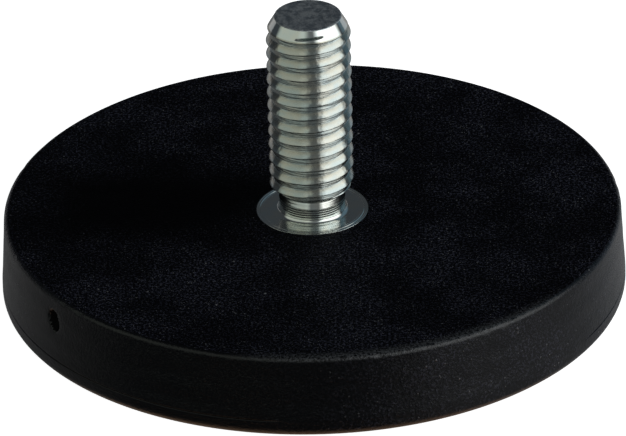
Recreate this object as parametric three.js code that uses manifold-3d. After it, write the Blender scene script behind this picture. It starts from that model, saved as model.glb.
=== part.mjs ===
// Rubber-coated pot magnet, 43 mm across and 6 mm thick, with an M6 x 15 stud on its back.
// Millimetres. +Z runs up the stud, and the origin is the centre of the rubber working face.
//
// From the working face up: a rubber face tray that holds six disc magnets, a steel yoke plate
// that closes their flux, a turned steel stud swaged into the yoke, and a rubber jacket over all.
import * as THREE from "three";
import { mergeVertices } from "three/addons/utils/BufferGeometryUtils.js";
import Module from "manifold-3d";

// Rubber body
const BODY_RADIUS = 21.5;
const BODY_HEIGHT = 6;
const TOP_RADIUS = 21.25;
const TOP_EDGE_ROUND = 0.25;
const FACE_EDGE_ROUND = 0.65;
const PARTING_HEIGHT = 1.25;
const PARTING_BEVEL = 0.06;
const FACE_SKIN = 0.7;
const FIT = 0.05;
const POCKET_FLOOR_CENTRE = 2.4;

// Gate mark: a shallow oval dimple in the rim, where the rubber was fed into the mould
const GATE_ANGLE = THREE.MathUtils.degToRad(213.8);
const GATE_HEIGHT = 4;
const GATE_HALF_WIDTH = 0.55;
const GATE_HALF_HEIGHT = 0.7;
const GATE_DEPTH = 0.28;

// Magnets
const MAGNET_COUNT = 6;
const MAGNET_RADIUS = 5;
const MAGNET_THICKNESS = 3;
const MAGNET_CIRCLE = 13.5;
const MAGNET_CHAMFER = 0.25;

// Steel yoke plate
const YOKE_RADIUS = 19.5;
const YOKE_THICKNESS = 1.5;
const YOKE_HOLE_RADIUS = 2.5;
const FLOW_HOLE_RADIUS = 1.25;
const FLOW_HOLE_CIRCLE = 15.5;

// Stud: M6 x 1 thread, relieved neck, collar flush with the rubber, tail swaged under the yoke
const STUD_TOP = 21;
const PITCH = 1;
const CREST_RADIUS = 2.925;
const ROOT_RADIUS = 2.387;
const CREST_FLAT = PITCH / 8;
const FLANK_SLOPE = Math.tan(THREE.MathUtils.degToRad(30));
const RIDGE_EMBED = 0.15;
const CREST_ON_X_AXIS = 18.72;
const TIP_RADIUS = 2.15;
const TIP_EDGE = [2.32, 20.92];
const TIP_TAPER = Math.tan(THREE.MathUtils.degToRad(30));
const TIP_RING_RADIUS = 2.68;
const TIP_RING_BASE = 19.85;
const THREAD_START = 7.55;
const ENVELOPE_RADIUS = 2.975;
const NECK_RADIUS = 2.3;
const FLARE_TOP = 6.3;
const FLARE_MIDDLE = [2.42, 6.1];
const FLARE_RADIUS = 2.65;
const COLLAR_RADIUS = 3.86;
const COLLAR_CHAMFER = 0.06;
const TAIL_RADIUS = 3.25;
const TAIL_HEIGHT = 1;
const TAIL_CHAMFER = 0.35;

// Heights that follow from the stack
const MAGNET_TOP = FACE_SKIN + MAGNET_THICKNESS;
const YOKE_TOP = MAGNET_TOP + YOKE_THICKNESS;

// Facets round a full circle
const BODY_FACETS = 96;
const STUD_FACETS = 24;
const MAGNET_FACETS = 32;
const PEG_FACETS = 16;
const ROUND_STEPS = 3;

const QUARTER = Math.PI / 2;
const TURN = Math.PI * 2;
const MERGE_DISTANCE = 1e-4;

const rubber = { color: 0x0c0c0e, roughness: 0.72, metalness: 0 };
const zincPlate = { color: 0xb4bab3, roughness: 0.32, metalness: 1 };
const bareSteel = { color: 0x8d8b86, roughness: 0.45, metalness: 1 };
const nickelPlate = { color: 0xbab4a6, roughness: 0.22, metalness: 1 };

const wasm = await Module();
wasm.setup();

function toSolid(geometry) {
  const bare = geometry.clone();
  bare.deleteAttribute("normal");
  bare.deleteAttribute("uv");
  const merged = mergeVertices(bare, MERGE_DISTANCE);
  const mesh = new wasm.Mesh({
    numProp: 3,
    vertProperties: merged.attributes.position.array,
    triVerts: new Uint32Array(merged.index.array),
  });
  return new wasm.Manifold(mesh);
}

function toGeometry(solid) {
  const mesh = solid.getMesh();
  const geometry = new THREE.BufferGeometry();
  geometry.setAttribute("position", new THREE.BufferAttribute(mesh.vertProperties, 3));
  geometry.setIndex(new THREE.BufferAttribute(mesh.triVerts, 1));
  geometry.computeVertexNormals();
  return geometry;
}

// Points of a round from one angle to another, as [radius, height] pairs.
function round(centreRadius, centreHeight, size, from, to) {
  const points = [];
  for (let i = 0; i <= ROUND_STEPS; i++) {
    const angle = from + ((to - from) * i) / ROUND_STEPS;
    points.push([centreRadius + size * Math.cos(angle), centreHeight + size * Math.sin(angle)]);
  }
  return points;
}

// A profile of [radius, height] pairs, counter-clockwise, turned about +Z.
function revolve(profile, facets) {
  const points = profile.map(([radius, height]) => new THREE.Vector2(radius, height));
  return new THREE.LatheGeometry(points, facets).rotateX(QUARTER);
}

function onCircle(radius, index, count, offset = 0) {
  const angle = (TURN * (index + offset)) / count;
  return [radius * Math.cos(angle), radius * Math.sin(angle)];
}

// The thread's centre line, from the tip down to the neck, with section x radial and y along +Z.
class ThreadLine extends THREE.Curve {
  constructor(radius, topHeight, bottomHeight) {
    super();
    this.radius = radius;
    this.topHeight = topHeight;
    this.bottomHeight = bottomHeight;
  }

  angleAt(t) {
    const height = THREE.MathUtils.lerp(this.topHeight, this.bottomHeight, t);
    return (TURN * (height - CREST_ON_X_AXIS)) / PITCH;
  }

  getPoint(t, target = new THREE.Vector3()) {
    const angle = this.angleAt(t);
    const height = THREE.MathUtils.lerp(this.topHeight, this.bottomHeight, t);
    return target.set(this.radius * Math.cos(angle), this.radius * Math.sin(angle), height);
  }

  getPointAt(t, target) {
    return this.getPoint(t, target);
  }

  computeFrenetFrames(steps) {
    const tangents = [];
    const normals = [];
    const binormals = [];
    for (let i = 0; i <= steps; i++) {
      const angle = this.angleAt(i / steps);
      tangents.push(new THREE.Vector3(Math.sin(angle), -Math.cos(angle), 0));
      normals.push(new THREE.Vector3(Math.cos(angle), Math.sin(angle), 0));
      binormals.push(new THREE.Vector3(0, 0, 1));
    }
    return { tangents, normals, binormals };
  }
}

// The point of the tip's taper that has a given radius, as a [radius, height] pair.
function onTaper(radius) {
  const [edgeRadius, edgeHeight] = TIP_EDGE;
  return [radius, edgeHeight - (radius - edgeRadius) / TIP_TAPER];
}

// The ridge of the thread as an ISO 60 degree section swept along its helix, then trimmed to the
// run-out cone above the neck and to the taper at the tip.
function threadRidge() {
  const crest = CREST_RADIUS - ROOT_RADIUS;
  const baseHalf = CREST_FLAT / 2 + (crest + RIDGE_EMBED) * FLANK_SLOPE;
  const section = new THREE.Shape([
    new THREE.Vector2(-RIDGE_EMBED, -baseHalf),
    new THREE.Vector2(crest, -CREST_FLAT / 2),
    new THREE.Vector2(crest, CREST_FLAT / 2),
    new THREE.Vector2(-RIDGE_EMBED, baseHalf),
  ]);
  const line = new ThreadLine(ROOT_RADIUS, STUD_TOP + PITCH, THREAD_START - PITCH);
  const turns = (line.topHeight - line.bottomHeight) / PITCH;
  const ridge = new THREE.ExtrudeGeometry(section, {
    steps: Math.round(turns * STUD_FACETS),
    extrudePath: line,
  });
  const cone = ENVELOPE_RADIUS - NECK_RADIUS;
  const envelope = revolve(
    [
      [0, THREAD_START],
      [NECK_RADIUS, THREAD_START],
      [ENVELOPE_RADIUS, THREAD_START + cone],
      onTaper(ENVELOPE_RADIUS),
      TIP_EDGE,
      [TIP_RADIUS, STUD_TOP],
      [0, STUD_TOP],
    ],
    STUD_FACETS,
  );
  return toSolid(ridge).intersect(toSolid(envelope));
}

function threadedStud() {
  const tailBase = MAGNET_TOP - TAIL_HEIGHT;
  const core = revolve(
    [
      [0, tailBase],
      [TAIL_RADIUS - TAIL_CHAMFER, tailBase],
      [TAIL_RADIUS, tailBase + TAIL_CHAMFER],
      [TAIL_RADIUS, MAGNET_TOP],
      [YOKE_HOLE_RADIUS - FIT, MAGNET_TOP],
      [YOKE_HOLE_RADIUS - FIT, YOKE_TOP],
      [COLLAR_RADIUS, YOKE_TOP],
      [COLLAR_RADIUS, BODY_HEIGHT - COLLAR_CHAMFER],
      [COLLAR_RADIUS - COLLAR_CHAMFER, BODY_HEIGHT],
      [FLARE_RADIUS, BODY_HEIGHT],
      FLARE_MIDDLE,
      [NECK_RADIUS, FLARE_TOP],
      [NECK_RADIUS, THREAD_START],
      [ROOT_RADIUS, THREAD_START + ROOT_RADIUS - NECK_RADIUS],
      [ROOT_RADIUS, TIP_RING_BASE],
      [TIP_RING_RADIUS, TIP_RING_BASE + TIP_RING_RADIUS - ROOT_RADIUS],
      onTaper(TIP_RING_RADIUS),
      TIP_EDGE,
      [TIP_RADIUS, STUD_TOP],
      [0, STUD_TOP],
    ],
    STUD_FACETS,
  );
  return toGeometry(toSolid(core).add(threadRidge()));
}

// A flat disc with the stud's hole in its middle and rubber flow holes between the magnets.
function yokePlate() {
  const outline = new THREE.Shape();
  outline.absarc(0, 0, YOKE_RADIUS, 0, TURN, false);
  outline.holes.push(new THREE.Path().absarc(0, 0, YOKE_HOLE_RADIUS, 0, TURN, true));
  for (let i = 0; i < MAGNET_COUNT; i++) {
    const [x, y] = onCircle(FLOW_HOLE_CIRCLE, i, MAGNET_COUNT, 0.5);
    outline.holes.push(new THREE.Path().absarc(x, y, FLOW_HOLE_RADIUS, 0, TURN, true));
  }
  return new THREE.ExtrudeGeometry(outline, {
    depth: YOKE_THICKNESS,
    curveSegments: BODY_FACETS / 4,
    bevelEnabled: false,
  });
}

function discMagnet() {
  const inner = MAGNET_RADIUS - MAGNET_CHAMFER;
  return revolve(
    [
      [0, 0],
      [inner, 0],
      [MAGNET_RADIUS, MAGNET_CHAMFER],
      [MAGNET_RADIUS, MAGNET_THICKNESS - MAGNET_CHAMFER],
      [inner, MAGNET_THICKNESS],
      [0, MAGNET_THICKNESS],
    ],
    MAGNET_FACETS,
  );
}

// Top skin and rim wall in one, open below, with the collar's hole in the middle.
function rubberJacket() {
  const wall = YOKE_RADIUS + FIT;
  const shell = revolve(
    [
      [wall, PARTING_HEIGHT],
      [BODY_RADIUS - PARTING_BEVEL, PARTING_HEIGHT],
      [BODY_RADIUS, PARTING_HEIGHT + PARTING_BEVEL],
      ...round(
        TOP_RADIUS - TOP_EDGE_ROUND,
        BODY_HEIGHT - TOP_EDGE_ROUND,
        TOP_EDGE_ROUND,
        0,
        QUARTER,
      ),
      [COLLAR_RADIUS + FIT, BODY_HEIGHT],
      [COLLAR_RADIUS + FIT, YOKE_TOP],
      [wall, YOKE_TOP],
      [wall, PARTING_HEIGHT],
    ],
    BODY_FACETS,
  );
  const dimple = new THREE.SphereGeometry(1, PEG_FACETS, PEG_FACETS / 2);
  dimple.scale(GATE_DEPTH, GATE_HALF_WIDTH, GATE_HALF_HEIGHT);
  dimple.rotateZ(GATE_ANGLE);
  const draft = (BODY_RADIUS - TOP_RADIUS) / (BODY_HEIGHT - PARTING_HEIGHT);
  const rim = BODY_RADIUS - draft * (GATE_HEIGHT - PARTING_HEIGHT);
  dimple.translate(rim * Math.cos(GATE_ANGLE), rim * Math.sin(GATE_ANGLE), GATE_HEIGHT);
  return toGeometry(toSolid(shell).subtract(toSolid(dimple)));
}

// Working face, lip up to the parting line, a block with a pocket for each magnet and for the
// stud's tail, and pegs that pass through the yoke and bond to the jacket.
function rubberFace() {
  const block = YOKE_RADIUS - FIT;
  const tray = revolve(
    [
      [0, 0],
      ...round(
        BODY_RADIUS - FACE_EDGE_ROUND,
        FACE_EDGE_ROUND,
        FACE_EDGE_ROUND,
        -QUARTER,
        0,
      ),
      [BODY_RADIUS, PARTING_HEIGHT - PARTING_BEVEL],
      [BODY_RADIUS - PARTING_BEVEL, PARTING_HEIGHT],
      [block, PARTING_HEIGHT],
      [block, MAGNET_TOP],
      [0, MAGNET_TOP],
    ],
    BODY_FACETS,
  );
  let solid = toSolid(tray);
  const overshoot = 1;
  const pocket = new THREE.CylinderGeometry(1, 1, 1, MAGNET_FACETS).rotateX(QUARTER);
  const peg = new THREE.CylinderGeometry(1, 1, 1, PEG_FACETS).rotateX(QUARTER);

  function cylinder(unit, radius, x, y, bottom, top) {
    const shape = unit.clone().scale(radius, radius, top - bottom);
    return toSolid(shape.translate(x, y, (bottom + top) / 2));
  }

  for (let i = 0; i < MAGNET_COUNT; i++) {
    const [x, y] = onCircle(MAGNET_CIRCLE, i, MAGNET_COUNT);
    const top = MAGNET_TOP + overshoot;
    solid = solid.subtract(cylinder(pocket, MAGNET_RADIUS + FIT, x, y, FACE_SKIN, top));
  }
  for (let i = 0; i < MAGNET_COUNT; i++) {
    const [x, y] = onCircle(FLOW_HOLE_CIRCLE, i, MAGNET_COUNT, 0.5);
    const foot = MAGNET_TOP - overshoot;
    solid = solid.add(cylinder(peg, FLOW_HOLE_RADIUS - FIT, x, y, foot, YOKE_TOP));
  }
  const tailTop = MAGNET_TOP + overshoot;
  const tailPocket = cylinder(pocket, TAIL_RADIUS + FIT, 0, 0, POCKET_FLOOR_CENTRE, tailTop);
  return toGeometry(solid.subtract(tailPocket));
}

const magnet = new THREE.Group();

function addPart(name, geometry, finish, position = [0, 0, 0]) {
  const part = new THREE.Mesh(geometry, new THREE.MeshStandardMaterial(finish));
  part.name = name;
  part.position.set(...position);
  magnet.add(part);
}

addPart("threaded_stud", threadedStud(), zincPlate);
addPart("rubber_jacket", rubberJacket(), rubber);
addPart("rubber_face", rubberFace(), rubber);
addPart("yoke_plate", yokePlate(), bareSteel, [0, 0, MAGNET_TOP]);
for (let i = 0; i < MAGNET_COUNT; i++) {
  const [x, y] = onCircle(MAGNET_CIRCLE, i, MAGNET_COUNT);
  addPart(`disc_magnet_${i + 1}`, discMagnet(), nickelPlate, [x, y, FACE_SKIN]);
}

export default magnet;
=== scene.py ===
"""Looks of a rubber-coated magnet with a threaded stud: fine meshes, materials, stage and light.

Mesh work is in millimetres and is scaled to metres when an object is made.
"""
import math

import bmesh
import bpy
import numpy as np
from mathutils import Matrix, Vector


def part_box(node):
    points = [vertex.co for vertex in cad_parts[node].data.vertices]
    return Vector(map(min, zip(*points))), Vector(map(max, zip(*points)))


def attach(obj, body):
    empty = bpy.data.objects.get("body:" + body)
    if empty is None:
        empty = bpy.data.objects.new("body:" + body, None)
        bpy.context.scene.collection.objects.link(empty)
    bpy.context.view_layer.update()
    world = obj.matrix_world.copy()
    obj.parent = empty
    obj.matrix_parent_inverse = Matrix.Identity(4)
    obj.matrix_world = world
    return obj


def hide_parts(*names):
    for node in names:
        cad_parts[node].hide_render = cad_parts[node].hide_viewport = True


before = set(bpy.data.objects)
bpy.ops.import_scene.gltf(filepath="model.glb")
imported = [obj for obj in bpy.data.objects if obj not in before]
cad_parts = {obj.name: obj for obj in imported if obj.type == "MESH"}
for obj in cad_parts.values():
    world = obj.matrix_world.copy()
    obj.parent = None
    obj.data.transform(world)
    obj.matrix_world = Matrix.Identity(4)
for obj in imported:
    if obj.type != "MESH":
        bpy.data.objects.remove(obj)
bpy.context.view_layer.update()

MM = 0.001
TURN = 2 * math.pi


def box_mm(node):
    """Lowest and highest corner of a CAD node, in millimetres."""
    low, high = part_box(node)
    return low / MM, high / MM


# ---------------------------------------------------------------- sizes taken from the frame

stud_low, stud_high = box_mm("threaded_stud")
jacket_low, jacket_high = box_mm("rubber_jacket")
yoke_low, yoke_high = box_mm("yoke_plate")
magnet_names = sorted(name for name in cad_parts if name.startswith("disc_magnet"))

STUD_TOP = stud_high.z
TAIL_BASE = stud_low.z
COLLAR_RADIUS = stud_high.x
BODY_RADIUS = jacket_high.x
BODY_HEIGHT = jacket_high.z
PARTING = jacket_low.z
YOKE_RADIUS = yoke_high.x
YOKE_BASE = yoke_low.z
YOKE_TOP = yoke_high.z

# Play between pieces that sit in one another
FIT = 0.05

# ---------------------------------------------------------------- stud, in millimetres

# How far the fine surface stays inside the CAD's, so that its unevenness never passes it
INSIDE = 0.008

# One pitch of the thread, followed upwards from a crest, whose height is the one at +X.
# The slopes are radius lost per millimetre: up the flank above the crest, up across the wide
# root, and down the flank below the crest. The curve makes the flank above steeper further up.
PITCH = 1.0
CREST_RADIUS = 2.925
CREST_HEIGHT = 18.64
CREST_HALF = 0.015
CREST_ROUND = 0.015
ROOT_RADIUS = 2.60
ROOT_FOOT = 0.72
ROOT_ROUND = 0.02
UPPER_SLOPE = math.tan(math.radians(21))
UPPER_CURVE = 0.53
ROOT_SLOPE = math.tan(math.radians(10))
LOWER_SLOPE = math.tan(math.radians(60))

# The thread's slight unevenness: its random seed, and the height over which it sets in
THREAD_SEED = 3
UNEVEN_FADE = 0.5

# The fine line that follows the thread: its height above the crest, depth and half width
ROOT_LINE = 0.47
ROOT_LINE_DEPTH = 0.018
ROOT_LINE_HALF = 0.02

# The neck: saw-tooth turning marks, a taper above them, and the run-out of the thread
NECK_RADIUS = 2.3
TOOL_FEED = 0.17
TOOL_DEPTH = 0.026
TOOL_RISE = 0.8
TOOL_MARKS_TOP = 7.06
NECK_TAPER = math.tan(math.radians(15))
RUNOUT_BASE = 7.62
RUNOUT_SLOPE = 1.15
RUNOUT_ROUND = 0.02

# The tip: end face, the round at its edge, and the taper down to the first crest
TIP_RADIUS = 2.15
TIP_EDGE_RADIUS = 2.32
TIP_EDGE_HEIGHT = 20.92
TIP_TAPER = math.tan(math.radians(30))
TIP_ROUND = 0.06
TIP_RING_LOW = 20.24

# Flare above the collar, shank through the yoke, and swaged tail
FLARE_RADIUS = 2.65
FLARE_HEIGHT = 0.32
SHANK_RADIUS = 2.45
TAIL_RADIUS = 3.25
SWAGE_ROUND = 0.4
EDGE = 0.05

# Turned lines in the collar's face, as distance inside its edge and depth. The face is a little
# lower outside the second line.
COLLAR_GROOVES = ((0.12, 0.020), (0.27, 0.036), (0.42, 0.018))
COLLAR_STEP = 0.27
GROOVE_HALF = 0.028
COLLAR_SPACING = 0.015

# The thread's strip of rows ends at this height, and turned rings go on below it
STRIP_BASE = 7.58
COLUMNS = 144

# The open slot that rolling left in the crest of the first, unfinished turn
SLOT_TURN = -0.246
SLOT_HALF_TURN = 0.062
SLOT_DEPTH = 0.24
SLOT_HALF = 0.045
SLOT_RISE = 0.05


def soft_min(a, b, blend):
    """The lower of two values, rounded where they cross."""
    share = np.clip(0.5 + 0.5 * (b - a) / blend, 0, 1)
    return b * (1 - share) + a * share - blend * share * (1 - share)


def soft_max(a, b, blend):
    """The higher of two values, rounded where they cross."""
    return -soft_min(-a, -b, blend)


def ripple(turn, height, seed, waves=7, most=12):
    """Smooth unevenness between about -1 and 1 that closes on itself round the axis.

    It is the mean of some waves, and each repeats fewer than `most` times round the axis.
    """
    draw = np.random.default_rng(seed)
    total = np.zeros(np.broadcast(turn, height).shape)
    for _ in range(waves):
        around = int(draw.integers(1, most))
        along = draw.uniform(-4, 4)
        total = total + np.sin(TURN * around * turn + along * height + draw.uniform(0, TURN))
    return total / waves


def thread_radius(turn, height):
    """Radius of the threaded part at a turn, counted from +X, and a height."""
    phase = (height - CREST_HEIGHT) / PITCH - turn
    above = (phase - np.floor(phase)) * PITCH
    upper = above - CREST_HALF
    upper = CREST_RADIUS - upper * UPPER_SLOPE - np.maximum(upper, 0) ** 2 * UPPER_CURVE
    root = ROOT_RADIUS + (ROOT_FOOT - above) * ROOT_SLOPE
    lower = CREST_RADIUS - (PITCH - above - CREST_HALF) * LOWER_SLOPE
    radius = soft_max(soft_max(upper, root, ROOT_ROUND), lower, ROOT_ROUND)
    radius = soft_min(CREST_RADIUS, radius, CREST_ROUND)
    radius = radius - ROOT_LINE_DEPTH * np.exp(-(((above - ROOT_LINE) / ROOT_LINE_HALF) ** 2))
    # The blank's own taper is full round the tip, and the thread starts below it.
    filled = CREST_RADIUS - np.maximum(TIP_RING_LOW - height, 0) * LOWER_SLOPE
    radius = soft_max(radius, filled, CREST_ROUND)
    taper = TIP_EDGE_RADIUS + (TIP_EDGE_HEIGHT - height) * TIP_TAPER
    radius = soft_min(radius, taper, TIP_ROUND)
    runout = NECK_RADIUS + np.maximum(height - RUNOUT_BASE, 0) * RUNOUT_SLOPE
    radius = soft_min(radius, runout, RUNOUT_ROUND)
    around = turn - SLOT_TURN
    around = around - np.round(around)
    first_crest = CREST_HEIGHT + PITCH * (2 + SLOT_TURN + around) + SLOT_RISE
    slot = SLOT_DEPTH * np.exp(-(((height - first_crest) / SLOT_HALF) ** 2))
    slot = slot * np.clip(2 * (1 - np.abs(around) / SLOT_HALF_TURN), 0, 1)
    rolled = np.clip((height - RUNOUT_BASE) / UNEVEN_FADE, 0, 1)
    uneven = INSIDE * ripple(turn, height, THREAD_SEED) * rolled
    return radius - slot - INSIDE + uneven


def strip_offsets():
    """Row places in one pitch, as shares of it: closest at the crest and wider on the flanks."""
    near = 0.1
    crest = np.arange(-near, near, 0.0125)
    flanks = np.linspace(near, 1 - near, 40, endpoint=False)
    return np.concatenate([crest, flanks])


def threaded_strip(mesh):
    """The thread as a grid whose rows follow the helix, cut square at both ends."""
    # Enough whole pitches for every column to pass both cuts
    offsets = strip_offsets()
    first = math.floor(STRIP_BASE - CREST_HEIGHT) - 2
    last = math.ceil(STUD_TOP - CREST_HEIGHT) + 1
    levels = np.concatenate([CREST_HEIGHT + PITCH * (n + offsets) for n in range(first, last)])
    turns = np.arange(COLUMNS) / COLUMNS
    height = levels[:, None] + PITCH * turns[None, :]
    radius = thread_radius(turns[None, :], height)
    rows = [
        [
            mesh.verts.new((r * math.cos(TURN * t), r * math.sin(TURN * t), z))
            for r, t, z in zip(radius_row, turns, height_row)
        ]
        for radius_row, height_row in zip(radius, height)
    ]
    # The rows climb a pitch in one turn, so the last column meets the first one a pitch higher.
    step = len(offsets)
    for j in range(len(rows) - 1):
        for i in range(COLUMNS - 1):
            mesh.faces.new((rows[j][i], rows[j][i + 1], rows[j + 1][i + 1], rows[j + 1][i]))
        if j + step + 1 < len(rows):
            mesh.faces.new((rows[j][-1], rows[j + step][0], rows[j + step + 1][0], rows[j + 1][-1]))
    for level, side in ((TIP_EDGE_HEIGHT, 1), (STRIP_BASE, -1)):
        everything = mesh.verts[:] + mesh.edges[:] + mesh.faces[:]
        bmesh.ops.bisect_plane(
            mesh, geom=everything, dist=1e-5, plane_co=(0, 0, level), plane_no=(0, 0, side),
            clear_outer=True,
        )


def open_ring(mesh, level):
    """The vertices of the open edge at a level, in order round the axis."""
    ring = {
        vertex
        for edge in mesh.edges if edge.is_boundary
        for vertex in edge.verts if abs(vertex.co.z - level) < 1e-3
    }
    return sorted(ring, key=lambda vertex: math.atan2(vertex.co.y, vertex.co.x))


def add_rings(mesh, ring, profile, material=0):
    """Turned surface from an open ring through [radius, height] points, closed on the axis."""
    angles = [math.atan2(vertex.co.y, vertex.co.x) for vertex in ring]
    count = len(ring)
    for radius, height in profile:
        if radius == 0:
            centre = mesh.verts.new((0, 0, height))
            for i in range(count):
                face = mesh.faces.new((ring[i], ring[(i + 1) % count], centre))
                face.material_index = material
            return
        following = [
            mesh.verts.new((radius * math.cos(a), radius * math.sin(a), height)) for a in angles
        ]
        for i in range(count):
            k = (i + 1) % count
            face = mesh.faces.new((ring[i], ring[k], following[k], following[i]))
            face.material_index = material
        ring = following


def arc(centre, radii, start, stop, steps):
    """Points along an ellipse's arc, as [radius, height] pairs, angles in degrees."""
    angles = np.radians(np.linspace(start, stop, steps + 1))
    return [
        (centre[0] + radii[0] * math.cos(a), centre[1] + radii[1] * math.sin(a)) for a in angles
    ]


def neck_points():
    """Down the neck, with its taper and turning marks, and out over the flare."""
    points = []
    flare_top = BODY_HEIGHT + FLARE_HEIGHT
    for height in np.arange(STRIP_BASE - 0.03, flare_top, -TOOL_FEED / 10):
        cut = NECK_TAPER * max(height - TOOL_MARKS_TOP, 0)
        if height < TOOL_MARKS_TOP:
            along = (height - TOOL_MARKS_TOP) / TOOL_FEED % 1
            cut = TOOL_DEPTH * min(along / TOOL_RISE, (1 - along) / (1 - TOOL_RISE))
        points.append((NECK_RADIUS - INSIDE - cut, height))
    radii = (FLARE_RADIUS - NECK_RADIUS + INSIDE, FLARE_HEIGHT)
    return points + arc((FLARE_RADIUS, flare_top), radii, 180, 270, 10)


def collar_points():
    """Out across the collar's face, over its turned lines, to the round at its edge."""
    points = []
    for radius in np.arange(FLARE_RADIUS + 0.06, COLLAR_RADIUS - EDGE, COLLAR_SPACING):
        groove = sum(
            depth * math.exp(-(((radius - COLLAR_RADIUS + inside) / GROOVE_HALF) ** 2))
            for inside, depth in COLLAR_GROOVES
        )
        step = INSIDE if radius > COLLAR_RADIUS - COLLAR_STEP else 0
        points.append((radius, BODY_HEIGHT - groove - step))
    centre = (COLLAR_RADIUS - EDGE, BODY_HEIGHT - INSIDE - EDGE)
    return points + arc(centre, (EDGE, EDGE), 90, 0, 4)


def shank_points():
    """Down the collar's wall and the shank to the swaged tail, and in to the axis."""
    points = [
        (COLLAR_RADIUS, YOKE_TOP + 2 * EDGE),
        (COLLAR_RADIUS - EDGE, YOKE_TOP),
        (SHANK_RADIUS + EDGE, YOKE_TOP),
        (SHANK_RADIUS, YOKE_TOP - EDGE),
        (SHANK_RADIUS, YOKE_BASE),
        (TAIL_RADIUS - EDGE, YOKE_BASE),
        (TAIL_RADIUS, YOKE_BASE - EDGE),
    ]
    centre = (TAIL_RADIUS - SWAGE_ROUND, TAIL_BASE + SWAGE_ROUND)
    points += arc(centre, (SWAGE_ROUND, SWAGE_ROUND), 0, -90, 6)
    return points + [(TAIL_RADIUS / 2, TAIL_BASE), (0, TAIL_BASE)]


def end_profile():
    """The tip's edge round and its flat end face."""
    rounded = (TIP_EDGE_RADIUS - TIP_RADIUS, STUD_TOP - TIP_EDGE_HEIGHT)
    points = arc((TIP_RADIUS, TIP_EDGE_HEIGHT), rounded, 25, 90, 5)
    points += [(radius, STUD_TOP) for radius in np.arange(TIP_RADIUS - 0.15, 0.2, -0.4)]
    points.append((0, STUD_TOP))
    return points


# ---------------------------------------------------------------- rubber, in millimetres

RUBBER_COLUMNS = 1080
TOP_RADIUS = 21.25
TOP_ROUND = 0.34
FACE_ROUND = 0.65
LIP_ROUND = 0.06
SEAM_GAP = 0.03
COLLAR_HOLE_RADIUS = COLLAR_RADIUS + 0.012
COLLAR_HOLE_ROUND = 0.03
RIM_SPACING = 0.11
ROUND_STEPS = 8
FLOW_HOLE_RADIUS = 1.25
FLOW_HOLE_CIRCLE = 15.5
TAIL_POCKET_BASE = TAIL_BASE - 0.3

# Faces of the jacket whose centres are this close to its top belong to the flat top
FLAT_LIMIT = 0.005

# How far the boolean tools reach past the surfaces they cut or join
OVERLAP = 1.0

# The oval gate mark: a torn dimple that leans a little, in a shallow wider hollow
GATE_TURN = 213.5 / 360
GATE_HEIGHT = 4.15
GATE_HALF_WIDTH = 0.6
GATE_HALF_HEIGHT = 0.78
GATE_LEAN = 0.15
GATE_DEPTH = 0.6
GATE_HOLLOW = 0.06

# The moulded wall's unevenness, and where it sets in from the top and from the parting line
MOULD_SEED = 11
MOULD_UNEVEN = 0.018
TOP_FADE = 0.6
PARTING_FADE = 0.8

# The small nicks just under the top edge, where many narrow waves add up to a peak
NICK_SEED = 29
NICK_WAVES = 9
NICK_MOST = 90
NICK_GAIN = 2.2
NICK_FLOOR = 0.7
NICK_HEIGHT = BODY_HEIGHT - 0.2
NICK_HALF = 0.1
NICK_DEPTH = 0.09

# The stretch of the parting line where the two rubber pieces have grown together. Each side
# closes less than half of the gap, so the two meshes never touch.
CLOSED_TURN = -0.178
CLOSED_HALF_TURN = 0.1
CLOSED_FADE = 0.01
CLOSED_SHARE = 0.45


def rounded_profile(corners, spacing):
    """A closed outline through corners of (radius, height, round), filleted and then subdivided."""
    outline = []
    count = len(corners)
    for i, (r, z, size) in enumerate(corners):
        here = Vector((r, z))
        before = Vector(corners[i - 1][:2]) - here
        after = Vector(corners[(i + 1) % count][:2]) - here
        if size == 0:
            outline.append(here)
            continue
        half = before.angle(after) / 2
        inwards = (before.normalized() + after.normalized()).normalized()
        centre = here + inwards * size / math.sin(half)
        start = here + before.normalized() * size / math.tan(half) - centre
        stop = here + after.normalized() * size / math.tan(half) - centre
        for k in range(ROUND_STEPS + 1):
            share = k / ROUND_STEPS
            outline.append(centre + start.normalized().slerp(stop.normalized(), share) * size)
    points = []
    for i, here in enumerate(outline):
        following = outline[(i + 1) % len(outline)]
        steps = max(1, math.ceil((following - here).length / spacing(here, following)))
        points += [here.lerp(following, k / steps) for k in range(steps)]
    return [(point.x, point.y) for point in points]


def revolve(profile, columns, shift, solid=False):
    """Vertices and faces of a profile turned about the axis.

    The profile of a ring closes on itself. The profile of a solid form starts and ends beside the
    axis and is closed there. The shift function moves the points, which it gets as radius, height
    and turn.
    """
    radius = np.array([p[0] for p in profile])[:, None]
    height = np.array([p[1] for p in profile])[:, None]
    turn = (np.arange(columns) / columns)[None, :]
    radius = np.repeat(radius, columns, axis=1)
    height = np.repeat(height, columns, axis=1)
    radius, height = shift(radius, height, turn)
    x = radius * np.cos(TURN * turn)
    y = radius * np.sin(TURN * turn)
    vertices = np.stack([x, y, height], axis=-1).reshape(-1, 3).tolist()
    rows = len(profile)
    faces = [
        (j * columns + i, j * columns + (i + 1) % columns,
         (j + 1) % rows * columns + (i + 1) % columns, (j + 1) % rows * columns + i)
        for j in range(rows - 1 if solid else rows) for i in range(columns)
    ]
    if solid:
        for row in (0, rows - 1):
            centre = len(vertices)
            vertices.append((0, 0, profile[row][1]))
            ring = [row * columns + i for i in range(columns)]
            faces += [(ring[i], ring[i - 1], centre) for i in range(columns)]
    return vertices, faces


def seam_closed(turn):
    """1 where the parting line has grown together and 0 where it is open."""
    around = turn - CLOSED_TURN
    around = around - np.round(around)
    return np.clip((CLOSED_HALF_TURN - np.abs(around)) / CLOSED_FADE, 0, 1)


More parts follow.
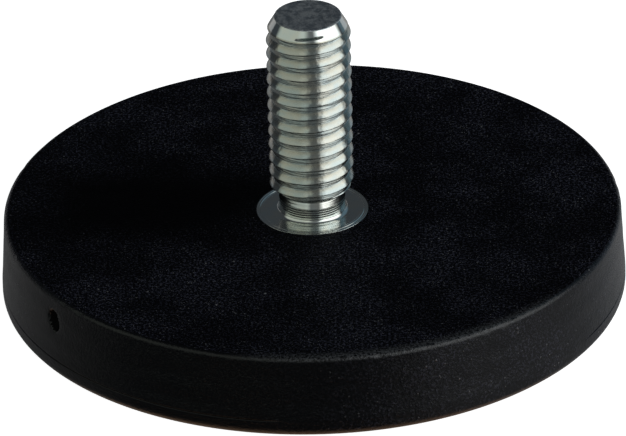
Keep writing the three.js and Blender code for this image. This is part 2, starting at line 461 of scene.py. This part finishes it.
def close_seam(radius, height, turn, side):
    """Fills the groove at the parting line; side is 1 above the line and -1 below it."""
    near = (np.abs(height - PARTING) < LIP_ROUND + SEAM_GAP) & (radius > BODY_RADIUS - 0.1)
    share = near * seam_closed(turn)
    radius = radius + share * (BODY_RADIUS - radius)
    return radius, height - side * share * CLOSED_SHARE * SEAM_GAP


def gate_oval(turn, height):
    """0 in the middle of the gate mark, 1 on its edge and more outside it."""
    around = turn - GATE_TURN
    around = (around - np.round(around)) * TURN * BODY_RADIUS
    around = around - GATE_LEAN * (GATE_HEIGHT - height)
    return (around / GATE_HALF_WIDTH) ** 2 + ((height - GATE_HEIGHT) / GATE_HALF_HEIGHT) ** 2


def jacket_shift(radius, height, turn):
    """The gate mark, the nicks and the slight unevenness of the rim, always inwards."""
    oval = gate_oval(turn, height)
    dimple = GATE_DEPTH * np.clip(1 - oval, 0, 1) ** 0.8 + GATE_HOLLOW * np.exp(-oval)
    outer = np.clip((radius - TOP_RADIUS + 1) / TOP_FADE, 0, 1)
    above = np.clip((height - PARTING) / PARTING_FADE, 0, 1)
    uneven = MOULD_UNEVEN * (1 + ripple(turn, height, MOULD_SEED)) * above
    peaks = ripple(turn, 0, NICK_SEED, NICK_WAVES, NICK_MOST)
    nicks = np.clip(NICK_GAIN * peaks - NICK_FLOOR, 0, 1)
    nicks = NICK_DEPTH * nicks * np.exp(-(((height - NICK_HEIGHT) / NICK_HALF) ** 2))
    radius, height = close_seam(radius, height, turn, 1)
    return radius - outer * (dimple + uneven + nicks), height


def face_shift(radius, height, turn):
    """The lower side of the closed stretch of the parting line."""
    return close_seam(radius, height, turn, -1)


def spacing_beyond(radius, coarse):
    """Rule for the steps along an outline: fine beyond a radius and coarse nearer the axis."""
    def spacing(here, following):
        return RIM_SPACING if min(here.x, following.x) > radius else coarse
    return spacing


def jacket_material_index(place):
    """0 for the flat top, 2 inside the gate mark and 1 for the rest of the jacket."""
    x, y, z = place
    if z > BODY_HEIGHT - FLAT_LIMIT:
        return 0
    on_rim = math.hypot(x, y) > TOP_RADIUS - 1
    return 2 if on_rim and gate_oval(math.atan2(y, x) / TURN, z) < 1 else 1


def jacket_mesh():
    """The upper rubber: top skin and rim wall, open below, with the collar's hole."""
    wall = YOKE_RADIUS + FIT
    foot = PARTING + SEAM_GAP / 2
    corners = [
        (wall, foot, 0),
        (BODY_RADIUS, foot, LIP_ROUND),
        (TOP_RADIUS, BODY_HEIGHT, TOP_ROUND),
        (COLLAR_HOLE_RADIUS, BODY_HEIGHT, COLLAR_HOLE_ROUND),
        (COLLAR_HOLE_RADIUS, YOKE_TOP, 0),
        (wall, YOKE_TOP, 0),
    ]
    profile = rounded_profile(corners, spacing_beyond(TOP_RADIUS - 1, coarse=0.8))
    mesh = mesh_from("jacket_fine", *revolve(profile, RUBBER_COLUMNS, jacket_shift))
    for face in mesh.polygons:
        face.material_index = jacket_material_index(face.center)
    return mesh


def cylinders(places, bottom, top, radius):
    """Closed upright cylinders in one mesh, at a list of [x, y] places."""
    build = bmesh.new()
    for x, y in places:
        made = bmesh.ops.create_cone(
            build, cap_ends=True, segments=64, radius1=radius, radius2=radius, depth=top - bottom
        )
        bmesh.ops.translate(build, verts=made["verts"], vec=(x, y, (bottom + top) / 2))
    mesh = bpy.data.meshes.new("cylinders")
    build.to_mesh(mesh)
    build.free()
    return mesh


def combined(mesh, steps):
    """A mesh after boolean steps, each an operation and a second mesh."""
    scratch = bpy.data.objects.new("scratch", mesh)
    bpy.context.scene.collection.objects.link(scratch)
    others = []
    for operation, other in steps:
        tool = bpy.data.objects.new("tool", other)
        bpy.context.scene.collection.objects.link(tool)
        modifier = scratch.modifiers.new("step", "BOOLEAN")
        modifier.operation = operation
        modifier.solver = "EXACT"
        modifier.object = tool
        others.append(tool)
    bpy.context.view_layer.update()
    evaluated = scratch.evaluated_get(bpy.context.evaluated_depsgraph_get())
    result = bpy.data.meshes.new_from_object(evaluated)
    for piece in (scratch, *others):
        bpy.data.objects.remove(piece)
    return result


def face_mesh():
    """The lower rubber: working face and lip, magnet and tail pockets, pegs through the yoke."""
    block = YOKE_RADIUS - FIT
    top = PARTING - SEAM_GAP / 2
    corners = [
        (0, 0, 0),
        (BODY_RADIUS, 0, FACE_ROUND),
        (BODY_RADIUS, top, LIP_ROUND),
        (block, top, 0),
        (block, YOKE_BASE, 0),
        (0, YOKE_BASE, 0),
    ]
    outline = rounded_profile(corners, spacing_beyond(BODY_RADIUS - 1, coarse=3.0))
    profile = [point for point in outline if point[0] > 0]
    tray = mesh_from("face_fine", *revolve(profile, RUBBER_COLUMNS // 3, face_shift, solid=True))
    boxes = [box_mm(name) for name in magnet_names]
    magnets = [((low + high) / 2).xy for low, high in boxes]
    low, high = boxes[0]
    above = YOKE_BASE + OVERLAP
    turns = [(k + 0.5) / len(magnets) * TURN for k in range(len(magnets))]
    holes = [(FLOW_HOLE_CIRCLE * math.cos(t), FLOW_HOLE_CIRCLE * math.sin(t)) for t in turns]
    pockets = cylinders(magnets, low.z, above, (high.x - low.x) / 2 + FIT)
    tail = cylinders([(0, 0)], TAIL_POCKET_BASE, above, TAIL_RADIUS + FIT)
    pegs = cylinders(holes, YOKE_BASE - OVERLAP, YOKE_TOP, FLOW_HOLE_RADIUS - FIT)
    return combined(tray, [("DIFFERENCE", pockets), ("DIFFERENCE", tail), ("UNION", pegs)])


# ---------------------------------------------------------------- objects

SHARP_ANGLE = 50


def finish_object(name, mesh, materials, replaced):
    """A mesh in millimetres becomes a named piece in metres that rides on the part's one body."""
    mesh.transform(((MM, 0, 0, 0), (0, MM, 0, 0), (0, 0, MM, 0), (0, 0, 0, 1)))
    for material in materials:
        mesh.materials.append(material)
    mesh.shade_smooth()
    mesh.set_sharp_from_angle(angle=math.radians(SHARP_ANGLE))
    piece = bpy.data.objects.new(name, mesh)
    bpy.context.scene.collection.objects.link(piece)
    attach(piece, "root")
    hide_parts(replaced)


def mesh_from(name, vertices, faces):
    """A mesh from its vertices and faces, with the normals turned outwards."""
    mesh = bpy.data.meshes.new(name)
    mesh.from_pydata(vertices, [], faces)
    mesh.update()
    build = bmesh.new()
    build.from_mesh(mesh)
    bmesh.ops.recalc_face_normals(build, faces=build.faces[:])
    build.to_mesh(mesh)
    build.free()
    return mesh


# ---------------------------------------------------------------- node helpers

def add_node(tree, kind, values=None, links=None, **settings):
    """A shader node with its settings, unlinked values and incoming links."""
    made = tree.nodes.new(kind)
    for key, value in settings.items():
        setattr(made, key, value)
    for key, value in (values or {}).items():
        made.inputs[key].default_value = value
    for key, socket in (links or {}).items():
        tree.links.new(socket, made.inputs[key])
    return made


def math_node(tree, operation, first, second=0.0, third=None):
    """A math node on numbers or sockets; MULTIPLY_ADD is first times second plus third."""
    made = tree.nodes.new("ShaderNodeMath")
    made.operation = operation
    for place, value in enumerate((first, second, third)):
        if value is None:
            continue
        if isinstance(value, (int, float)):
            made.inputs[place].default_value = value
        else:
            tree.links.new(value, made.inputs[place])
    return made.outputs[0]


def ramp(tree, value, low, high, start=0.0, stop=1.0):
    """Maps low..high smoothly to start..stop, clamped."""
    made = add_node(
        tree, "ShaderNodeMapRange",
        values={"From Min": low, "From Max": high, "To Min": start, "To Max": stop},
        links={"Value": value},
        interpolation_type="SMOOTHSTEP",
    )
    return made.outputs["Result"]


def mix_colour(tree, share, first, second):
    """A colour between two, each a tuple or a socket; 6, 7 and 2 are the node's colour sockets."""
    made = tree.nodes.new("ShaderNodeMix")
    made.data_type = "RGBA"
    tree.links.new(share, made.inputs[0])
    for place, value in ((6, first), (7, second)):
        if isinstance(value, tuple):
            made.inputs[place].default_value = (*value, 1)
        else:
            tree.links.new(value, made.inputs[place])
    return made.outputs[2]


def noise_node(tree, vector, scale, detail, rough):
    """Smooth noise round 0.5."""
    return add_node(
        tree, "ShaderNodeTexNoise",
        values={"Scale": scale, "Detail": detail, "Roughness": rough}, links={"Vector": vector},
    ).outputs["Fac"]


def vector_node(tree, operation, values=None, links=None, output="Vector"):
    """What a vector math node gives: a vector, or a number from its output named Value."""
    made = add_node(tree, "ShaderNodeVectorMath", values, links, operation=operation)
    return made.outputs[output]


def add_bump(tree, shader, relief, strength, distance):
    """Bumps from a height socket; strength is a number or a socket, distance is in millimetres."""
    bump = add_node(
        tree, "ShaderNodeBump", values={"Distance": distance * MM}, links={"Height": relief}
    )
    if isinstance(strength, (int, float)):
        bump.inputs["Strength"].default_value = strength
    else:
        tree.links.new(strength, bump.inputs["Strength"])
    tree.links.new(bump.outputs["Normal"], shader.inputs["Normal"])


def axis_coordinates(tree, place):
    """Separate x, y, z and the distance from the axis."""
    parts = add_node(tree, "ShaderNodeSeparateXYZ", links={"Vector": place})
    x, y, z = (parts.outputs[axis] for axis in "XYZ")
    squares = math_node(tree, "MULTIPLY_ADD", x, x, math_node(tree, "MULTIPLY", y, y))
    return x, y, z, math_node(tree, "SQRT", squares)


def new_material(name):
    """A node material, its tree, its Principled shader and object coordinates in millimetres."""
    material = bpy.data.materials.new(name)
    material.use_nodes = True
    tree = material.node_tree
    shader = tree.nodes["Principled BSDF"]
    place = add_node(tree, "ShaderNodeTexCoord").outputs["Object"]
    scaled = vector_node(tree, "SCALE", values={"Scale": 1 / MM}, links={0: place})
    return material, tree, shader, scaled


# ---------------------------------------------------------------- materials

# Rubber tones: dark and light of the clouds, the grain over them, and the specks of dust
TOP_TONES = (
    (0.0001, 0.0001, 0.0003),
    (0.0018, 0.0019, 0.0034),
    (0.044, 0.046, 0.068),
    (0.20, 0.20, 0.21),
)
RIM_DARK = (0.0002, 0.0002, 0.0005)
RIM_LIGHT = (0.0014, 0.0014, 0.0024)
RIM_GRAIN = (0.024, 0.024, 0.035)
RIM_DUST = (0.14, 0.14, 0.15)
RIM_TONES = (RIM_DARK, RIM_LIGHT, RIM_GRAIN, RIM_DUST)
# The gate mark's tones are darker than the rim's: painted shade in the recess.
GATE_SHADE_TONES = (RIM_DARK, RIM_DARK, RIM_LIGHT, RIM_GRAIN)

# Layers of specks, each with its cell scale, the share of cells left out and the specks' size
TOP_SPECKS = ((4.2, 0.35, 0.30), (1.5, 0.5, 0.16), (7.0, 0.35, 0.36))
RIM_SPECKS = ((3.2, 0.45, 0.25), (1.2, 0.6, 0.14))

# The painted highlight on a stretch of the top edge: the way it faces, and its tone
HIGHLIGHT_AZIMUTH = 20
EDGE_HIGHLIGHT_TONE = (0.052, 0.054, 0.058)

# Painted shade: ellipsoids, each as centre and half size, inside which dust and tone fade almost to
# dark. On the top it is a painted shadow of the stud, on the rim painted shade on its front-left.
TOP_PAINTED_SHADOW = ((-11, 1, 6), (9, 6, 9))
RIM_PAINTED_SHADE = ((-9, -19, 3), (12, 12, 12))

# Zinc plating in two tones each: bright where it was turned, dull and yellower on the thread
TURNED_TONES = ((0.70, 0.75, 0.73), (0.76, 0.76, 0.70))
THREAD_TONES = ((0.47, 0.53, 0.52), (0.56, 0.56, 0.50))
CUT_TONES = ((0.36, 0.39, 0.42), (0.54, 0.55, 0.56))

# The painted warm reflection, a brownish tint low on the flanks: its tone and share, and the radii
# between which it sets in from the inside and from the outside
WARM_REFLECTION_TONE = (0.50, 0.45, 0.34)
WARM_REFLECTION_SHARE = 0.45
WARM_REFLECTION_INNER = (2.66, 2.70)
WARM_REFLECTION_OUTER = (2.88, 2.72)

# Heights over which the thread's tone sets in, from the neck and from the tip
THREAD_FROM_NECK = (7.7, 8.1)
THREAD_FROM_TIP = (20.3, 20.2)


def dust_node(tree, place, layers):
    """Scattered specks, 0 to 1, as the strongest of several layers."""
    dust = None
    for scale, left_out, size in layers:
        cells = add_node(
            tree, "ShaderNodeTexVoronoi", values={"Scale": scale, "Randomness": 1.0},
            links={"Vector": place},
        )
        pick = add_node(tree, "ShaderNodeSeparateColor", links={"Color": cells.outputs["Color"]})
        kept = ramp(tree, pick.outputs["Red"], left_out, 1.0)
        width = math_node(tree, "MULTIPLY_ADD", pick.outputs["Green"], size, 0.03)
        near = math_node(tree, "DIVIDE", cells.outputs["Distance"], width)
        spot = math_node(tree, "MULTIPLY", ramp(tree, near, 1.0, 0.3), kept)
        dust = spot if dust is None else math_node(tree, "MAXIMUM", dust, spot)
    return dust


def painted_shade_share(tree, place, shade_oval):
    """1 outside the painted shade and almost 0 in the middle of its ellipsoid, where dust and tone
    go almost dark.
    """
    centre, half = shade_oval
    off = vector_node(tree, "SUBTRACT", values={1: centre}, links={0: place})
    scaled = vector_node(tree, "DIVIDE", values={1: half}, links={0: off})
    reach = vector_node(tree, "LENGTH", links={0: scaled}, output="Value")
    return ramp(tree, reach, 0.4, 1.6, 0.05, 1.0)


def edge_highlight_share(tree, place):
    """1 on the stretch of the top edge that carries the painted highlight, and 0 away from it."""
    x, y, z, radius = axis_coordinates(tree, place)
    ahead = direction(HIGHLIGHT_AZIMUTH, 0)
    towards = math_node(tree, "MULTIPLY", x, ahead.x)
    towards = math_node(tree, "MULTIPLY_ADD", y, ahead.y, towards)
    facing = ramp(tree, towards, BODY_RADIUS - 5, BODY_RADIUS - 1)
    outer = ramp(tree, radius, BODY_RADIUS - 1.3, BODY_RADIUS - 0.55)
    upper = ramp(tree, z, BODY_HEIGHT - 0.35, BODY_HEIGHT - 0.15)
    return math_node(tree, "MULTIPLY", math_node(tree, "MULTIPLY", facing, outer), upper)


def rubber_material(name, tones, dust_layers, shade_oval, rough, gloss):
    """Black rubber: cloudy tone, fine grain, pale specks and a moulded, slightly uneven skin, with
    painted shade inside an ellipsoid and a painted highlight on part of the top edge.

    Roughness is given as its lowest value and its span over the grain.
    """
    material, tree, shader, place = new_material(name)
    dark, light, grain_tone, dust_tone = tones
    broad = noise_node(tree, place, 0.2, 4, 0.6)
    grain = noise_node(tree, place, 5.5, 2, 0.75)
    # Painted shade: dust and tone fall almost to dark inside the ellipsoid.
    dust_and_shade = math_node(
        tree, "MULTIPLY", ramp(tree, broad, 0.38, 0.64, 0.34, 1.0), painted_shade_share(tree, place, shade_oval)
    )
    cloudy = mix_colour(tree, dust_and_shade, dark, light)
    fine = math_node(tree, "MULTIPLY", ramp(tree, grain, 0.50, 0.64), dust_and_shade)
    grained = mix_colour(tree, fine, cloudy, grain_tone)
    specks = math_node(tree, "MULTIPLY", dust_node(tree, place, dust_layers), dust_and_shade)
    colour = mix_colour(tree, specks, grained, dust_tone)
    # Painted highlight on part of the top edge, broken up by the grain.
    edge_highlight = math_node(tree, "MULTIPLY", edge_highlight_share(tree, place), ramp(tree, grain, 0.36, 0.62))
    colour = mix_colour(tree, edge_highlight, colour, EDGE_HIGHLIGHT_TONE)
    tree.links.new(colour, shader.inputs["Base Color"])
    low, span = rough
    tree.links.new(math_node(tree, "MULTIPLY_ADD", grain, span, low), shader.inputs["Roughness"])
    relief = math_node(tree, "ADD", grain, math_node(tree, "MULTIPLY", broad, 2.0))
    relief = math_node(tree, "ADD", relief, specks)
    add_bump(tree, shader, relief, 0.8, 0.05)
    shader.inputs["Specular IOR Level"].default_value = gloss
    return material


def rubber_top_material():
    """The back of the magnet: dull, dusty and almost without gloss, with a painted shadow of the
    stud left of it.
    """
    return rubber_material("rubber_top", TOP_TONES, TOP_SPECKS, TOP_PAINTED_SHADOW, (0.5, 0.2), 0.03)


def rubber_rim_material():
    """The moulded rim and working face: smoother, with a soft gloss and painted shade on the rim's
    front-left.
    """
    return rubber_material("rubber_rim", RIM_TONES, RIM_SPECKS, RIM_PAINTED_SHADE, (0.17, 0.14), 0.36)


def gate_shade_material():
    """The torn rubber inside the gate mark: dull, and darker than the rim as painted shade in the
    recess.
    """
    return rubber_material("gate_painted_shade", GATE_SHADE_TONES, RIM_SPECKS[:1], RIM_PAINTED_SHADE, (0.6, 0.2), 0.10)


def turned_coordinates(tree, place):
    """Radius, height and a vector that is stretched round the axis, for turned metal."""
    x, y, z, radius = axis_coordinates(tree, place)
    slow_x = math_node(tree, "DIVIDE", math_node(tree, "MULTIPLY", x, 0.5), radius)
    slow_y = math_node(tree, "DIVIDE", math_node(tree, "MULTIPLY", y, 0.5), radius)
    along = math_node(tree, "ADD", math_node(tree, "MULTIPLY", radius, 1.37), z)
    along = math_node(tree, "MULTIPLY", along, 9.0)
    streaks = add_node(
        tree, "ShaderNodeCombineXYZ", links={"X": slow_x, "Y": slow_y, "Z": along}
    ).outputs[0]
    return radius, z, streaks


def turned_zinc_material():
    """Zinc plating: bright and streaked round the axis, duller and rougher on the thread, with a
    painted warm reflection low on its flanks.
    """
    material, tree, shader, place = new_material("turned_zinc")
    radius, height, streaks = turned_coordinates(tree, place)
    lines = noise_node(tree, streaks, 2.2, 4, 0.65)
    broad = noise_node(tree, place, 0.9, 3, 0.5)
    bright = mix_colour(tree, ramp(tree, broad, 0.35, 0.65), *TURNED_TONES)
    dull = mix_colour(tree, ramp(tree, broad, 0.35, 0.65), *THREAD_TONES)
    # Painted warm reflection: a brownish tint low on the thread's flanks.
    warm_reflection = math_node(
        tree, "MULTIPLY", ramp(tree, radius, *WARM_REFLECTION_INNER), ramp(tree, radius, *WARM_REFLECTION_OUTER)
    )
    threaded = math_node(
        tree, "MULTIPLY", ramp(tree, height, *THREAD_FROM_NECK), ramp(tree, height, *THREAD_FROM_TIP)
    )
    warm_reflection = math_node(tree, "MULTIPLY", math_node(tree, "MULTIPLY", warm_reflection, threaded), WARM_REFLECTION_SHARE)
    colour = mix_colour(tree, threaded, bright, dull)
    colour = mix_colour(tree, warm_reflection, colour, WARM_REFLECTION_TONE)
    tree.links.new(colour, shader.inputs["Base Color"])
    shader.inputs["Metallic"].default_value = 1.0
    rough = math_node(tree, "MULTIPLY_ADD", lines, 0.08, 0.03)
    rough = math_node(tree, "MULTIPLY_ADD", threaded, 0.12, rough)
    tree.links.new(rough, shader.inputs["Roughness"])
    shader.inputs["Anisotropic"].default_value = 1.0
    shader.inputs["Anisotropic Rotation"].default_value = 0.25
    tangent = add_node(tree, "ShaderNodeTangent", direction_type="RADIAL", axis="Z")
    tree.links.new(tangent.outputs[0], shader.inputs["Tangent"])
    scratches = noise_node(tree, streaks, 1.0, 2, 0.6)
    dents = noise_node(tree, place, 2.2, 1, 0.5)
    relief = math_node(tree, "MULTIPLY_ADD", scratches, 1.3, dents)
    strength = math_node(tree, "MULTIPLY_ADD", threaded, 0.65, 0.2)
    add_bump(tree, shader, relief, strength, 0.026)
    return material


def cut_end_material():
    """The stud's end face: blotchy, dull plating over the marks of the cut."""
    material, tree, shader, place = new_material("cut_zinc")
    streaks = turned_coordinates(tree, place)[-1]
    lines = noise_node(tree, streaks, 1.2, 3, 0.6)
    blotch = ramp(tree, noise_node(tree, place, 2.4, 4, 0.65), 0.35, 0.65)
    colour = mix_colour(tree, blotch, *CUT_TONES)
    tree.links.new(colour, shader.inputs["Base Color"])
    shader.inputs["Metallic"].default_value = 1.0
    rough = math_node(tree, "MULTIPLY_ADD", blotch, 0.15, 0.45)
    tree.links.new(rough, shader.inputs["Roughness"])
    add_bump(tree, shader, math_node(tree, "ADD", lines, blotch), 0.8, 0.02)
    return material


def plated_material(name, light, dark, rough_low, rough_span):
    """Plain plated or milled metal for the pieces sealed inside."""
    material, tree, shader, place = new_material(name)
    cloud = noise_node(tree, place, 0.5, 4, 0.6)
    grain = noise_node(tree, place, 9, 2, 0.5)
    tree.links.new(mix_colour(tree, cloud, light, dark), shader.inputs["Base Color"])
    shader.inputs["Metallic"].default_value = 1.0
    rough = math_node(tree, "MULTIPLY_ADD", grain, rough_span, rough_low)
    tree.links.new(rough, shader.inputs["Roughness"])
    add_bump(tree, shader, grain, 0.2, 0.01)
    return material


# ---------------------------------------------------------------- pieces

def make_stud():
    """The thread's strip, with turned rings below it and the tip's rings above it."""
    lower_profile = neck_points() + collar_points() + shank_points()
    build = bmesh.new()
    threaded_strip(build)
    add_rings(build, open_ring(build, STRIP_BASE), lower_profile)
    add_rings(build, open_ring(build, TIP_EDGE_HEIGHT), end_profile(), material=1)
    bmesh.ops.recalc_face_normals(build, faces=build.faces[:])
    mesh = bpy.data.meshes.new("stud_fine")
    build.to_mesh(mesh)
    build.free()
    materials = [turned_zinc_material(), cut_end_material()]
    finish_object("stud_fine", mesh, materials, "threaded_stud")


def make_rubber():
    """The jacket with its three looks, and the face with the rim's."""
    top, rim, gate = rubber_top_material(), rubber_rim_material(), gate_shade_material()
    finish_object("jacket_fine", jacket_mesh(), [top, rim, gate], "rubber_jacket")
    finish_object("face_fine", face_mesh(), [rim], "rubber_face")


def dress_hidden_pieces():
    """Materials for the yoke and magnets, which keep the CAD's own meshes."""
    yoke = plated_material("yoke_steel", (0.50, 0.49, 0.47), (0.36, 0.35, 0.34), 0.35, 0.2)
    nickel = plated_material("nickel_plate", (0.74, 0.71, 0.65), (0.66, 0.63, 0.57), 0.14, 0.12)
    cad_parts["yoke_plate"].material_slots[0].material = yoke
    for name in magnet_names:
        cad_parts[name].material_slots[0].material = nickel


# ---------------------------------------------------------------- stage, light and camera

FLOOR_HALF = 6.0
FLOOR_GLOW = 0.96


def make_floor():
    """A plain, evenly pale floor that neither lights the part nor shows in its reflections."""
    half = FLOOR_HALF
    corners = [(-half, -half, 0), (half, -half, 0), (half, half, 0), (-half, half, 0)]
    mesh = mesh_from("studio_floor", corners, [(0, 1, 2, 3)])
    material = bpy.data.materials.new("pale_floor")
    material.use_nodes = True
    shader = material.node_tree.nodes["Principled BSDF"]
    shader.inputs["Base Color"].default_value = (0.9, 0.9, 0.9, 1)
    shader.inputs["Roughness"].default_value = 0.9
    shader.inputs["Specular IOR Level"].default_value = 0.0
    shader.inputs["Emission Color"].default_value = (1, 1, 1, 1)
    shader.inputs["Emission Strength"].default_value = FLOOR_GLOW
    mesh.materials.append(material)
    floor = bpy.data.objects.new("studio_floor", mesh)
    bpy.context.scene.collection.objects.link(floor)
    floor.visible_glossy = False
    floor.visible_diffuse = False


def direction(azimuth, elevation):
    """Unit vector; azimuth 0 is -Y, the front, and it grows towards +X, the right."""
    a, e = math.radians(azimuth), math.radians(elevation)
    return Vector((math.sin(a) * math.cos(e), -math.cos(a) * math.cos(e), math.sin(e)))


# Place as azimuth and elevation, half size and width of the soft edges across and upwards, all in
# degrees, then radiance and colour
SOFTBOXES = (
    ((-54, 22), (42, 27), (9, 12), 0.44, (0.92, 1.0, 0.88)),
    ((64, 21), (34, 27), (10, 13), 1.6, (0.97, 1.0, 1.0)),
    ((8, 25), (30, 40), (8, 8), 0.10, (0.95, 1.0, 0.95)),
    ((130, 20), (18, 40), (8, 8), 0.14, (0.4, 0.75, 1.0)),
    ((180, -4), (55, 8), (3, 3), 0.30, (1.0, 0.98, 1.0)),
    ((108, -38), (58, 26), (12, 8), 0.22, (1.0, 1.0, 1.0)),
    ((-132, -34), (36, 26), (10, 8), 0.10, (1.0, 0.96, 0.90)),
    ((0, -88), (34, 34), (10, 10), 0.6, (1.0, 0.60, 0.36)),
)
SURROUND = (0.042, 0.048, 0.055)
BACKDROP = (1.0, 1.0, 1.0)


def along_axis(tree, ray, axis):
    """The part of a ray's direction that lies along an axis."""
    return vector_node(tree, "DOT_PRODUCT", values={1: axis}, links={0: ray}, output="Value")


def softbox_share(tree, ray, place, half_size, soft_edges):
    """1 for rays that meet a softbox and 0 for rays that miss it."""
    azimuth, elevation = place
    ahead = direction(azimuth, elevation)
    right = direction(azimuth + 90, 0)
    up = ahead.cross(right)
    depth = math_node(tree, "MAXIMUM", along_axis(tree, ray, ahead), 1e-3)
    share = ramp(tree, depth, 0.0, 0.01)
    for axis, half, edge in zip((right, up), half_size, soft_edges):
        off = math_node(tree, "DIVIDE", along_axis(tree, ray, axis), depth)
        off = math_node(tree, "ABSOLUTE", off)
        inner = math.tan(math.radians(max(half - edge, 0)))
        outer = math.tan(math.radians(half + edge))
        share = math_node(tree, "MULTIPLY", share, ramp(tree, off, outer, inner))
    return share


def make_world():
    """Softboxes in a dim surround, which light the part and show in its reflections."""
    world = bpy.data.worlds.new("studio")
    world.use_nodes = True
    tree = world.node_tree
    background = tree.nodes["Background"]
    ray = add_node(tree, "ShaderNodeTexCoord").outputs["Generated"]
    surround = dict(zip("XYZ", SURROUND))
    total = add_node(tree, "ShaderNodeCombineXYZ", values=surround).outputs[0]
    for place, half_size, soft_edges, radiance, colour in SOFTBOXES:
        share = softbox_share(tree, ray, place, half_size, soft_edges)
        tone = tuple(radiance * part for part in colour)
        glow = vector_node(tree, "SCALE", values={0: tone}, links={"Scale": share})
        total = vector_node(tree, "ADD", links={0: total, 1: glow})
    # The lights aren't in view: the camera sees a plain backdrop past the floor's edge.
    seen = add_node(tree, "ShaderNodeLightPath").outputs["Is Camera Ray"]
    tree.links.new(mix_colour(tree, seen, total, BACKDROP), background.inputs["Color"])
    bpy.context.scene.world = world


# Distance in metres, angles in degrees, lens and sensor in millimetres
CAMERA_DISTANCE = 0.8654
CAMERA_ELEVATION = 28.63
CAMERA_ROLL = -1.40
CAMERA_LENS = 723.0
SENSOR_WIDTH = 36

# The point aimed at, on the axis, and how far the aim is moved across and up the view
AIM = Vector((0, 0, 5.95)) * MM
AIM_RIGHT = 0.04 * MM
AIM_UP = -0.66 * MM


def make_camera():
    """A long lens at the front, looking down at the part and turned a little about its own axis."""
    data = bpy.data.cameras.new("camera")
    data.lens = CAMERA_LENS
    data.sensor_width = SENSOR_WIDTH
    camera = bpy.data.objects.new("camera", data)
    bpy.context.scene.collection.objects.link(camera)
    towards = -direction(0, CAMERA_ELEVATION)
    facing = towards.to_track_quat("-Z", "Y").to_matrix()
    roll_axis = facing @ Vector((0, 0, 1))
    facing = Matrix.Rotation(math.radians(CAMERA_ROLL), 3, roll_axis) @ facing
    aim = AIM + facing.col[0] * AIM_RIGHT + facing.col[1] * AIM_UP
    camera.matrix_world = facing.to_4x4()
    camera.location = aim - towards * CAMERA_DISTANCE
    bpy.context.scene.camera = camera


make_stud()
make_rubber()
dress_hidden_pieces()
make_floor()
make_world()
make_camera()
bpy.context.scene.view_settings.view_transform = "Standard"
